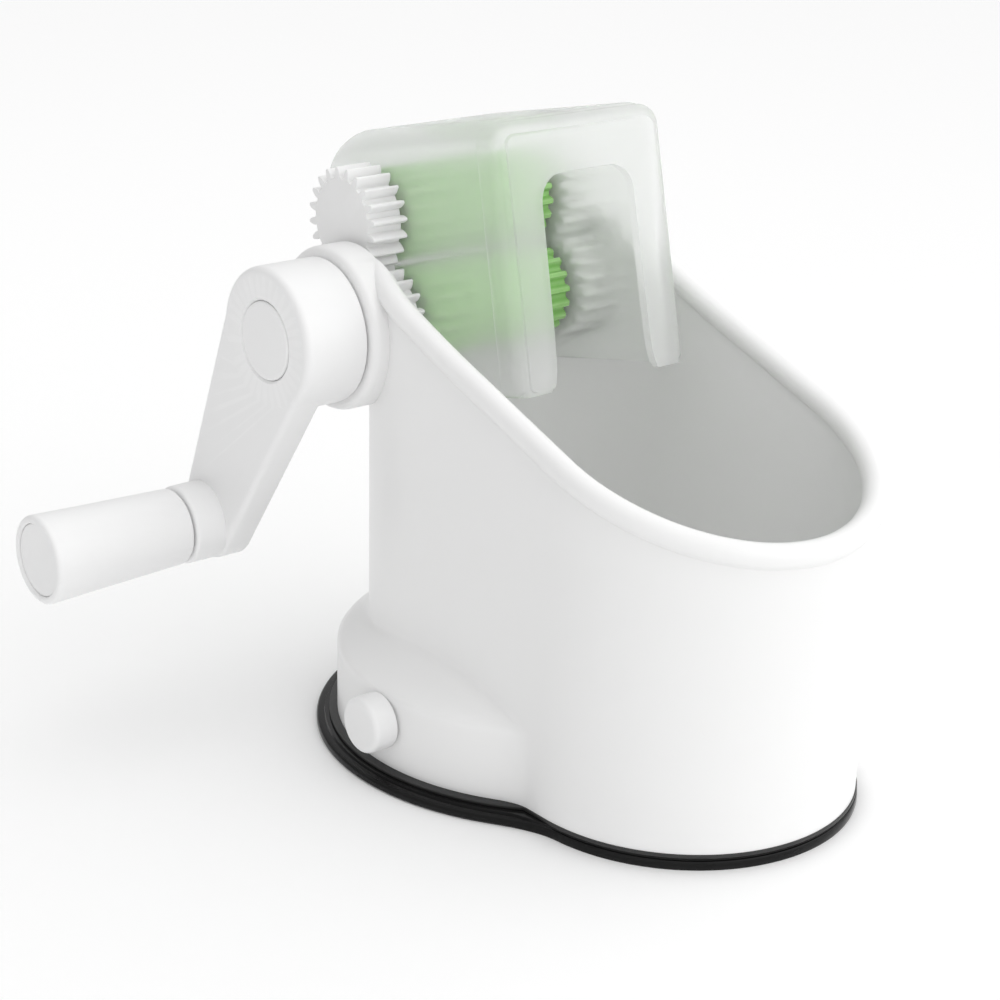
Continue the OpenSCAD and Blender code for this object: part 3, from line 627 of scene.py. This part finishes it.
def cup_mesh():
    """The cup with its ears, and the room for gears, rollers and bushes cut out of them."""
    bm = loft(288, cup_rows(), cup_place)
    left_face = abs(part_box("left_bush")[0].x)
    right_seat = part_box("right_bush")[1].x
    room = box_radius("left_drive_gear") + GEAR_ROOM
    inner = abs(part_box("left_bush")[1].x)
    reach_in = abs(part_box("left_drive_gear")[1].x) - GEAR_RECESS
    bush_r = box_radius("left_bush")
    tools = [
        (ear_mesh(-1, left_face), "UNION"),
        (ear_mesh(1, right_seat + EAR_WEB), "UNION"),
        (barrel_mesh(), "UNION"),
    ]
    for side in (-1, 1):
        for axis in (crank_axis, upper_axis):
            tools.append((cylinder_x(room, side * reach_in, side * inner, axis, 128), "DIFFERENCE"))
        # Open above the gears, so that the upper one can stand out of the ear
        size = Vector((inner - reach_in, 2.2 * room, 60 * MM))
        x = side * (inner + reach_in) / 2
        centre = Vector((x, crank_axis.y + 0.1 * room, crank_axis.z + size.z / 2))
        opening = bmesh.new()
        bmesh.ops.create_cube(opening, size=1)
        bmesh.ops.scale(opening, vec=size, verts=opening.verts)
        bmesh.ops.translate(opening, vec=centre, verts=opening.verts)
        tools.append((opening, "DIFFERENCE"))
    roller_half = 25 * MM
    for axis in (crank_axis, upper_axis):
        tools.append((cylinder_x(ROLLER_ROOM, -roller_half, roller_half, axis), "DIFFERENCE"))
    tools.append((cylinder_x(bush_r, -left_face - MM, -inner + MM, crank_axis), "DIFFERENCE"))
    tools.append((cylinder_x(bush_r, inner - MM, right_seat, crank_axis), "DIFFERENCE"))
    return combined(bm, tools)


def make_cup():
    finish_piece(cup_mesh(), "cup_shell", ["cup_body"], sharp=32)


# ---------- detailed copies of the small pieces ----------


def bevel_edges(bm, width, least=25, segments=2):
    """Rounds every edge that is sharper than the angle."""
    limit = math.radians(least)
    edges = [e for e in bm.edges if e.is_manifold and e.calc_face_angle(0) > limit]
    bmesh.ops.bevel(
        bm, geom=edges, offset=width, offset_type="OFFSET", affect="EDGES",
        segments=segments, profile=0.5, material=-1, clamp_overlap=True,
    )


def make_detailed(name, width):
    """A copy of a CAD node with rounded edges."""
    bm = bmesh.new()
    bm.from_mesh(frame["nodes"][name].data)
    bmesh.ops.remove_doubles(bm, verts=bm.verts, dist=1e-6)
    bmesh.ops.dissolve_limit(bm, angle_limit=math.radians(0.5), verts=bm.verts, edges=bm.edges)
    bevel_edges(bm, width)
    finish_piece(bm, name + "_detailed", [name])


# Rounding of the edges in millimetres
EDGE_WIDTHS = {
    "base_plate": 0.2, "base_screws": 0.15, "suction_pad": 0.3, "pad_plunger": 0.3,
    "suction_cam": 0.25, "suction_lever": 0.7, "lever_screw": 0.12,
    "left_bush": 0.3, "right_bush": 0.3, "upper_left_bush": 0.3, "upper_right_bush": 0.3,
    "left_drive_gear": 0.12, "right_drive_gear": 0.12, "left_driven_gear": 0.12,
    "right_driven_gear": 0.12, "shaft_clip": 0.1, "crank_screw": 0.15, "grip_washer": 0.12,
    "drive_shaft": 0.3, "upper_axle": 0.4, "grip_spindle": 0.3,
}


# ---------- foot ----------

SCREW_HOLE_R = 3.7 * MM
SCREW_HEAD_R = 3 * MM
# Rear pair of screws: distance from the base's centre and angle from the X axis
REAR_SCREWS = (43.3 * MM, math.radians(40))
# Front pair: the same from the centre of the cup's rounded front
FRONT_SCREWS = (32.8 * MM, math.radians(31))


def foot_mesh():
    """Black foot with a rounded upper edge and soft corners between cup and base."""
    low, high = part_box("foot_ring")
    flare = high.x - BASE_R
    top = high.z
    round_r = 0.9 * MM
    shelf = top - 0.6 * MM
    rows = [(1.2 * MM, low.z), (0.4 * MM, low.z), (0, low.z + 0.4 * MM), (0, shelf - round_r)]
    rows += [
        (round_r * (1 - math.cos(a)), shelf - round_r * (1 - math.sin(a)))
        for a in steps(0, math.pi / 2, 5)[1:]
    ]
    rows += [(1.6 * MM, top - 0.5 * MM), (1.9 * MM, top), (3 * MM, top)]

    def place(u, row):
        centre, out = outline_spot(u)
        reach = smooth_max(CUP_R + 0.5 * MM, base_reach(centre, out, BASE_R + flare), 7 * MM)
        share = min(max((reach - CUP_R) / flare, 0.3), 1)
        return Vector((*(centre + out * (reach - row[0] * share)), row[1]))

    bm = loft(288, rows, place)
    pad_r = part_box("suction_pad")[1].x + MM
    tools = [(disc_z(pad_r, low.z - MM, top + MM, (0, 0)), "DIFFERENCE")]
    slot_r = CUP_R - 7 * MM
    tools.append((disc_z(slot_r, low.z - MM, top + MM, (0, -CUP_FRONT)), "DIFFERENCE"))
    for x, y in screw_places():
        tools.append((disc_z(SCREW_HOLE_R, low.z - MM, top + MM, (x, y), 32), "DIFFERENCE"))
    return combined(bm, tools)


def screw_places():
    """Centres of the base screws, from the corners of their common box."""
    low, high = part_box("base_screws")
    places = []
    for side in (-1, 1):
        places.append((side * REAR_SCREWS[0] * math.cos(REAR_SCREWS[1]), high.y - SCREW_HEAD_R))
        places.append((side * FRONT_SCREWS[0] * math.cos(FRONT_SCREWS[1]), low.y + SCREW_HEAD_R))
    return places


# ---------- rollers ----------


def make_roller(name, axis, bore, phase):
    """Roller with soft-topped ridges and rounded ends."""
    low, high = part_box(name)
    radius = box_radius(name)
    ridges = 18
    depth = 1.5 * MM
    round_r = 0.8 * MM
    arc = steps(0, math.pi / 2, 5)
    face_inset = 3 * MM
    rows = [(low.x, face_inset)]
    rows += [(low.x + round_r * (1 - math.sin(a)), round_r * (1 - math.cos(a))) for a in reversed(arc)]
    rows += [(high.x - round_r * (1 - math.sin(a)), round_r * (1 - math.cos(a))) for a in arc]
    rows += [(high.x, face_inset)]

    def place(u, row):
        x, inset = row
        turn = phase / 360 + u
        from_ridge = abs((u * ridges + 0.5) % 1 - 0.5)
        rise = min(max((0.36 - from_ridge) / 0.24, 0), 1)
        rise = rise * rise * (3 - 2 * rise)
        r = radius - depth * (1 - rise) - inset
        a = 2 * math.pi * turn
        return Vector((x, axis.y + r * math.cos(a), axis.z + r * math.sin(a)))

    bm = loft(ridges * 16, rows, place)
    bm = combined(bm, [(cylinder_x(bore, low.x - MM, high.x + MM, axis), "DIFFERENCE")])
    finish_piece(bm, name + "_ridged", [name], sharp=40)


# ---------- crank ----------


def arm_spot(u, r1, r2, reach):
    """Point at share u of the outline of two discs and their tangents; +x is the small end."""
    a = math.asin((r1 - r2) / reach)
    side = reach * math.cos(a)
    big = (math.pi + 2 * a) * r1
    small = (math.pi - 2 * a) * r2
    s = u * (big + small + 2 * side)
    top = math.pi / 2 - a
    if s < big:
        t = top + s / r1
        return r1 * math.cos(t), r1 * math.sin(t)
    s -= big
    start = Vector((r1 * math.cos(-top), r1 * math.sin(-top)))
    end = Vector((reach + r2 * math.cos(-top), r2 * math.sin(-top)))
    if s < side:
        return tuple(start.lerp(end, s / side))
    s -= side
    if s < small:
        t = -top + s / r2
        return reach + r2 * math.cos(t), r2 * math.sin(t)
    s -= small
    start.y, end.y = -start.y, -end.y
    return tuple(end.lerp(start, s / side))


def crank_mesh():
    """Hub, arm and the grip's collar in one moulding."""
    low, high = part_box("crank_arm")
    face = low.x + 7.3 * MM
    hub_r = 15.9 * MM
    end_r = 9.4 * MM
    thick = 7.5 * MM
    offset = grip_axis - crank_axis
    offset.x = 0
    reach = offset.length
    away = offset.normalized()
    across = Vector((0, -away.z, away.y))
    edge = 1.5 * MM
    arc = steps(0, math.pi / 2, 5)
    back = 1 * MM
    rows = [(face + edge * (1 - math.sin(a)), edge * (1 - math.cos(a))) for a in reversed(arc)]
    rows += [(face + thick - back * (1 - math.sin(a)), back * (1 - math.cos(a))) for a in arc]

    def place(u, row):
        x, inset = row
        along, aside = arm_spot(u, hub_r - 0.4 * MM - inset, end_r - inset, reach)
        centre = Vector((x, crank_axis.y, crank_axis.z))
        return centre + away * along + across * aside

    bm = loft(256, rows, place)
    # The hub with a soft outer edge, spreading a little into the back of the arm
    hub = bmesh.new()
    outline = [(face, 0), (face, hub_r), (high.x, hub_r), (high.x, 0)]
    turned(hub, rounded(outline, {1: 1.6 * MM, 2: 0.6 * MM}, 6), crank_axis, 128)
    collar = bmesh.new()
    collar_r = 9 * MM
    outline = [(low.x, 0), (low.x, collar_r), (face + 2 * MM, collar_r), (face + 2 * MM, 0)]
    turned(collar, rounded(outline, {1: 0.8 * MM}, 4), grip_axis, 96)
    bore = box_radius("drive_shaft")
    spindle = 3 * MM
    screw_r = 2.2 * MM
    cap_r = box_radius("hub_cap") + 0.12 * MM
    chamfer = 0.5 * MM
    seat_x = face + 3.4 * MM
    seat = bmesh.new()
    outline = [
        (face - MM, 0), (face - MM, cap_r + chamfer), (face, cap_r + chamfer),
        (face + chamfer, cap_r), (seat_x, cap_r), (seat_x, 0),
    ]
    turned(seat, outline, crank_axis, 96)
    return combined(bm, [
        (hub, "UNION"), (collar, "UNION"), (seat, "DIFFERENCE"),
        (cylinder_x(bore, face + 6 * MM, high.x + MM, crank_axis), "DIFFERENCE"),
        (cylinder_x(screw_r, face - MM, high.x, crank_axis, 48), "DIFFERENCE"),
        (cylinder_x(spindle, low.x - MM, face + thick + MM, grip_axis, 48), "DIFFERENCE"),
    ])


def make_turned(name, part, outline, corners, axis, segments=128, arc_steps=5):
    """A round piece: its outline of (x, radius), with corners rounded, turned about the axis."""
    bm = bmesh.new()
    turned(bm, rounded(outline, corners, arc_steps), axis, segments)
    finish_piece(bm, name, [part])


def make_hub_cap():
    low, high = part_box("hub_cap")
    r = box_radius("hub_cap")
    hollow = r - 1.3 * MM
    top = low.x + 1.6 * MM
    outline = [(low.x, 0), (low.x, r), (high.x, r), (high.x, hollow), (top, hollow), (top, 0)]
    corners = {1: 0.6 * MM, 2: 0.2 * MM, 3: 0.2 * MM, 4: 0.2 * MM}
    make_turned("hub_cap_round", "hub_cap", outline, corners, crank_axis)


def make_grip():
    low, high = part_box("grip")
    big = box_radius("grip")
    small = big - 1.3 * MM
    seat = big - 1.8 * MM
    seat_x = low.x + 6.6 * MM
    bore = 3.06 * MM
    outline = [
        (high.x, bore), (high.x, small), (low.x + 12 * MM, big - 0.5 * MM), (low.x, big),
        (low.x, seat), (seat_x, seat), (seat_x, bore), (high.x, bore),
    ]
    corners = {1: 1.2 * MM, 2: 30 * MM, 3: 1.1 * MM, 4: 0.5 * MM}
    make_turned("grip_turned", "grip", outline, corners, grip_axis, 128, 8)


def make_grip_cap():
    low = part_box("grip_cap")[0]
    r = box_radius("grip_cap")
    hollow = r - 1.2 * MM
    end = low.x + 3 * MM
    outline = [
        (low.x + 0.9 * MM, 0), (low.x + 0.6 * MM, r * 0.5), (low.x, r), (end, r),
        (end, hollow), (low.x + 2.2 * MM, hollow), (low.x + 2.4 * MM, 0),
    ]
    corners = {2: 0.3 * MM, 3: 0.2 * MM, 4: 0.2 * MM}
    make_turned("grip_cap_dished", "grip_cap", outline, corners, grip_axis)


def make_cam_shaft():
    low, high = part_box("cam_shaft")
    shaft = 2.8 * MM
    stub = box_radius("cam_shaft")
    stub_end = low.x + 5.7 * MM
    pilot = 1.25 * MM
    hole = BASE_R - 8 * MM
    outline = [
        (low.x, 0), (low.x, stub), (stub_end, stub), (stub_end, shaft),
        (high.x, shaft), (high.x, pilot), (hole, pilot), (hole, 0),
    ]
    corners = {1: 1.3 * MM, 2: 0.2 * MM, 4: 0.3 * MM, 5: 0.1 * MM}
    make_turned("cam_shaft_round", "cam_shaft", outline, corners, lever_axis, 96)


# ---------- hood ----------

HOOD_TILT = math.radians(11.9)
HOOD_EDGE = 5 * MM
HOOD_BACK = 14 * MM
HOOD_DEPTH = 63.5 * MM
HOOD_HEIGHT = 57.4 * MM
HOOD_WALL = 2 * MM
HOOD_HALF = hood_high.x
HOOD_FRONT_Y = -1.8 * MM
# The tilted corner stands this far above the top of its rounding
HOOD_CORNER_RISE = HOOD_EDGE * (math.sin(HOOD_TILT) + math.cos(HOOD_TILT) - 1)
HOOD_FRAME = (
    Matrix.Translation((0, HOOD_FRONT_Y, hood_high.z + HOOD_CORNER_RISE))
    @ Matrix.Rotation(-HOOD_TILT, 4, "X")
)


def hood_outline(inset, top_in, side_in, count=12):
    """Side outline of the hood as (y, z), moved inward, with its upper corners rounded."""
    front = max(HOOD_EDGE - inset - side_in, 0.3 * MM)
    rear = max(HOOD_BACK - inset - max(top_in, side_in), 0.3 * MM)
    y1 = inset + side_in + (0 if inset else 0.5 * MM)
    y2, top = HOOD_DEPTH - inset - side_in, -inset - top_in
    low = -HOOD_HEIGHT - 14 * MM
    quarter = steps(0, math.pi / 2, count)
    span_y = y2 - rear - y1 - front
    points = [(y1, low + (top - front - low) * t / count) for t in range(count)]
    points += [(y1 + front * (1 - math.cos(a)), top - front * (1 - math.sin(a))) for a in quarter]
    points += [(y1 + front + span_y * t / count, top) for t in range(1, count)]
    points += [(y2 - rear * (1 - math.sin(a)), top - rear * (1 - math.cos(a))) for a in quarter]
    points += [(y2, top - rear + (low - top + rear) * t / count) for t in range(1, count + 1)]
    return points


def hood_body(inset):
    """Closed body of the hood: its side outline across X, rounded towards both sides."""
    edge = HOOD_EDGE - inset * 0.8
    small = 1.5 * MM
    half = HOOD_HALF - inset

    def row(side, to_side):
        top_in = edge - math.sqrt(edge ** 2 - (edge - to_side) ** 2)
        gap = max(small - to_side, 0)
        side_in = small - math.sqrt(small ** 2 - gap ** 2)
        return side * (half - to_side), hood_outline(inset, top_in, side_in)

    distances = [edge * (1 - math.sin(a)) for a in steps(0, math.pi / 2, 10)]
    rows = [row(-1, d) for d in reversed(distances)] + [row(1, d) for d in distances]
    count = len(rows[0][1])
    bm = loft(count, rows, lambda u, row: Vector((row[0], *row[1][round(u * count) % count])))
    bmesh.ops.transform(bm, matrix=HOOD_FRAME, verts=bm.verts)
    return bm


def bezel_outline(inset, count=8):
    """Front outline of the bezel as (x, z), moved inward; it spreads towards the bottom."""
    top = -inset - 0.55 * MM
    top_half = HOOD_HALF + 0.7 * MM - inset
    low_half = HOOD_HALF + 1.2 * MM - inset
    edge = max(HOOD_EDGE - inset, 0.4 * MM)
    low = -HOOD_HEIGHT + min(inset, 0.8 * MM)
    corner = 1.2 * MM
    points = []
    for side in (-1, 1):
        leg = [
            (side * (low_half - corner * (1 - math.sin(a))), low + corner * (1 - math.cos(a)))
            for a in steps(0, math.pi / 2, 4)
        ]
        crown = [
            (side * (top_half - edge * (1 - math.cos(a))), top - edge * (1 - math.sin(a)))
            for a in steps(0, math.pi / 2, count)
        ]
        points += leg + crown if side < 0 else list(reversed(leg + crown))
    return points


def bezel_mesh():
    """Front frame of the hood with a raised panel inside its border."""
    round_r = 2.2 * MM
    border_y = 0.7 * MM
    profile = [(7.4 * MM, 0.9 * MM), (6.9 * MM, 0.2 * MM), (6.3 * MM, 0)]
    profile += [
        (border_y + round_r * (1 - math.sin(a)), round_r * (1 - math.cos(a)))
        for a in steps(0, math.pi / 2, 5)
    ]
    profile += [(border_y, 2.6 * MM), (0.15 * MM, 3.0 * MM), (0, 3.4 * MM)]
    rows = [(y, bezel_outline(inset)) for y, inset in profile]
    count = len(rows[0][1])

    def place(u, row):
        x, z = row[1][round(u * count) % count]
        return Vector((x, row[0], z))

    bm = loft(count, rows, place)
    bmesh.ops.transform(bm, matrix=HOOD_FRAME, verts=bm.verts)
    return bm


def prism_y(points, y1, y2):
    """Prism along Y over (x, z) points, placed in the hood's frame."""
    bm = bmesh.new()
    face = bm.faces.new([bm.verts.new((x, y1, z)) for x, z in points])
    made = bmesh.ops.extrude_face_region(bm, geom=[face])["geom"]
    moved = [v for v in made if isinstance(v, bmesh.types.BMVert)]
    bmesh.ops.translate(bm, vec=(0, y2 - y1, 0), verts=moved)
    bmesh.ops.recalc_face_normals(bm, faces=bm.faces)
    bmesh.ops.transform(bm, matrix=HOOD_FRAME, verts=bm.verts)
    return bm


def window_points():
    """Outline of the window as (x, z): its legs spread towards the open bottom."""
    top = -12.3 * MM
    low = -HOOD_HEIGHT - 6 * MM
    corner = 6 * MM
    half = 12.9 * MM
    points = []
    for side in (-1, 1):
        part = [
            (side * 17.4 * MM, low), (side * 15.6 * MM, -57.6 * MM), (side * 14.4 * MM, -56 * MM),
            (side * 13.7 * MM, -53 * MM), (side * 13.3 * MM, -45 * MM),
        ]
        part += [
            (side * (half - corner * (1 - math.cos(a))), top - corner * (1 - math.sin(a)))
            for a in steps(0, math.pi / 2, 8)
        ]
        points += part if side < 0 else list(reversed(part))
    return points


def hood_mesh():
    """Hood: body and bezel, hollow and open below, with window, tray, mouth and bores."""
    seat_z = RIM_REAR_Z + BEAD_R * 0.6 + 0.4 * MM
    tray_y = crank_axis.y + box_radius("lower_roller") + 2.3 * MM
    tray_t = 2 * MM
    half = HOOD_HALF
    wide = 2 * half
    seat_y = CUP_REAR + math.sqrt((CUP_R - WALL) ** 2 - half ** 2) - 2.5 * MM
    bush_r = box_radius("upper_left_bush")
    shaft_hole = 4.4 * MM
    low_z = -HOOD_HEIGHT
    under_z = low_z - 30 * MM
    past_rear = HOOD_DEPTH + 9 * MM
    bm = combined(hood_body(0), [
        (bezel_mesh(), "UNION"),
        (hood_body(HOOD_WALL), "DIFFERENCE"),
        (box_mesh((-wide, HOOD_WALL, under_z), (wide, past_rear, low_z), HOOD_FRAME), "DIFFERENCE"),
        (box_mesh((-wide, -9 * MM, under_z), (wide, HOOD_WALL + MM, low_z), HOOD_FRAME), "DIFFERENCE"),
    ])
    tray = combined(hood_body(0.2 * MM), [
        (box_mesh((-wide, tray_y, seat_z), (wide, tray_y + 60 * MM, seat_z + tray_t)), "INTERSECT"),
    ])
    mouth_half = half - HOOD_WALL - 2 * MM
    mouth_y = tray_y + 4 * MM
    mouth = box_mesh(
        (-mouth_half, mouth_y, seat_z + tray_t), (mouth_half, mouth_y + 60 * MM, seat_z + 19 * MM))
    bevel_edges(mouth, 2.5 * MM, 40, 4)
    return combined(bm, [
        (tray, "UNION"),
        (prism_y(window_points(), -3 * MM, 8 * MM), "DIFFERENCE"),
        (box_mesh((-wide, seat_y, 0), (wide, seat_y + 80 * MM, seat_z)), "DIFFERENCE"),
        (mouth, "DIFFERENCE"),
        (cylinder_x(shaft_hole, -wide, wide, crank_axis, 64), "DIFFERENCE"),
        (cylinder_x(bush_r, -wide, wide, upper_axis, 64), "DIFFERENCE"),
    ])


# ---------- assembly ----------

make_camera()
make_studio()
make_cup()
finish_piece(foot_mesh(), "foot_moulding", ["foot_ring"])
make_roller("lower_roller", crank_axis, 4 * MM, 90)
make_roller("upper_roller", upper_axis, 3 * MM, 100)
finish_piece(crank_mesh(), "crank_moulding", ["crank_arm"])
make_hub_cap()
make_grip()
make_grip_cap()
make_cam_shaft()
finish_piece(hood_mesh(), "hood_shell", ["hood"], sharp=28)
for name, width in EDGE_WIDTHS.items():
    make_detailed(name, width * MM)

for name, part in frame["nodes"].items():
    if not part.hide_render:
        part.data.materials.clear()
        part.data.materials.append(LOOKS[SLOT[name]])
